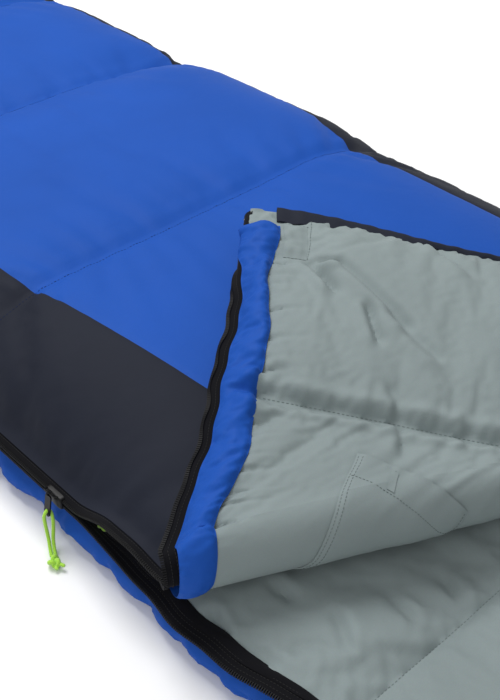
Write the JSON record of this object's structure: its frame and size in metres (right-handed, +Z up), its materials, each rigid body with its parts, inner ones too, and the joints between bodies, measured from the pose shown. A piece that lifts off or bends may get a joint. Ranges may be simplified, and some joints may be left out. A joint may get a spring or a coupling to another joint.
{
  "type": "rectangular sleeping bag",
  "caption": "Quilted rectangular sleeping bag lying on its back layer, side zip part open and the head corner of its top layer folded back, with a draft tube and lining pocket",
  "frame": {"origin": "middle of the footprint on the floor, measured without the free pull cords", "axes": "+Z up, +Y from the head end to the foot end, -X is the zip side"},
  "size_m": [0.8312, 1.9, 0.1957],
  "materials": {
    "blue_shell": "blue ripstop polyester shell, soft sheen",
    "charcoal_shell": "charcoal polyester shell, soft sheen",
    "lining": "grey-green brushed polyester lining",
    "fibre_fill": "hollow fibre wadding",
    "zip_tape": "black woven zip tape",
    "zip_coil": "black nylon coil",
    "slider_metal": "black lacquered zinc",
    "stop_metal": "bare crimped metal",
    "lime_cord": "lime braided cord"
  },
  "bodies": {
    "bag": {"top_centre_panel": "blue_shell", "fold_shell": "blue_shell", "bottom_shell": "blue_shell", "draft_tube": "blue_shell", "draft_tube_fold": "blue_shell", "top_zip_side_panel": "charcoal_shell", "top_far_side_panel": "charcoal_shell", "bottom_head_hem": "charcoal_shell", "far_side_seam": "charcoal_shell", "foot_end_binding": "charcoal_shell", "top_lining": "lining", "fold_lining": "lining", "bottom_lining": "lining", "pocket_lower_part": "lining", "top_fill": "fibre_fill", "fold_fill": "fibre_fill", "bottom_fill": "fibre_fill", "upper_zip_tape": "zip_tape", "upper_zip_tape_fold": "zip_tape", "lower_zip_tape": "zip_tape", "lower_guard_strip": "zip_tape", "upper_zip_coil": "zip_coil", "upper_zip_coil_fold": "zip_coil", "lower_zip_coil": "zip_coil", "lower_top_stop": "stop_metal", "zip_bottom_stop": "stop_metal"},
    "flap": {"flap_centre_panel": "blue_shell", "draft_tube_flap": "blue_shell", "flap_zip_side_panel": "charcoal_shell", "flap_far_side_panel": "charcoal_shell", "head_hem_facing": "charcoal_shell", "flap_lining": "lining", "corner_patch": "lining", "pocket_flap_part": "lining", "flap_fill": "fibre_fill", "upper_zip_tape_flap": "zip_tape", "pocket_hook_tab": "zip_tape", "upper_zip_coil_flap": "zip_coil", "upper_top_stop": "stop_metal"},
    "slider": {"slider_body": "slider_metal", "slider_outer_bridge": "slider_metal", "slider_inner_bridge": "slider_metal"},
    "outer_pull": {"outer_puller": "slider_metal", "outer_pull_cord": "lime_cord", "outer_cord_knot": "lime_cord"},
    "inner_pull": {"inner_puller": "slider_metal", "inner_pull_cord": "lime_cord", "inner_cord_knot": "lime_cord"}
  },
  "joints": [
    {"name": "flap_fold", "type": "hinge", "parent": "bag", "child": "flap", "pos_m": [-0.37983, -0.4975, 0.088], "axis": [0.8988, -0.4384, 0], "range_deg": [0, 165], "deforming": ["fold_shell", "draft_tube_fold", "fold_lining", "fold_fill", "upper_zip_tape_fold", "upper_zip_coil_fold"]},
    {"name": "zip_slide", "type": "slide", "parent": "bag", "child": "slider", "axis": [0, 1, 0], "range_m": [-0.02, 1.13]},
    {"name": "outer_puller_swing", "type": "hinge", "parent": "slider", "child": "outer_pull", "pos_m": [-0.39763, -0.325, 0.0649], "axis": [0, 1, 0], "range_deg": [0, 175]},
    {"name": "inner_puller_lift", "type": "hinge", "parent": "slider", "child": "inner_pull", "pos_m": [-0.37933, -0.325, 0.0505], "axis": [0, -1, 0], "range_deg": [0, 5]}
  ]
}
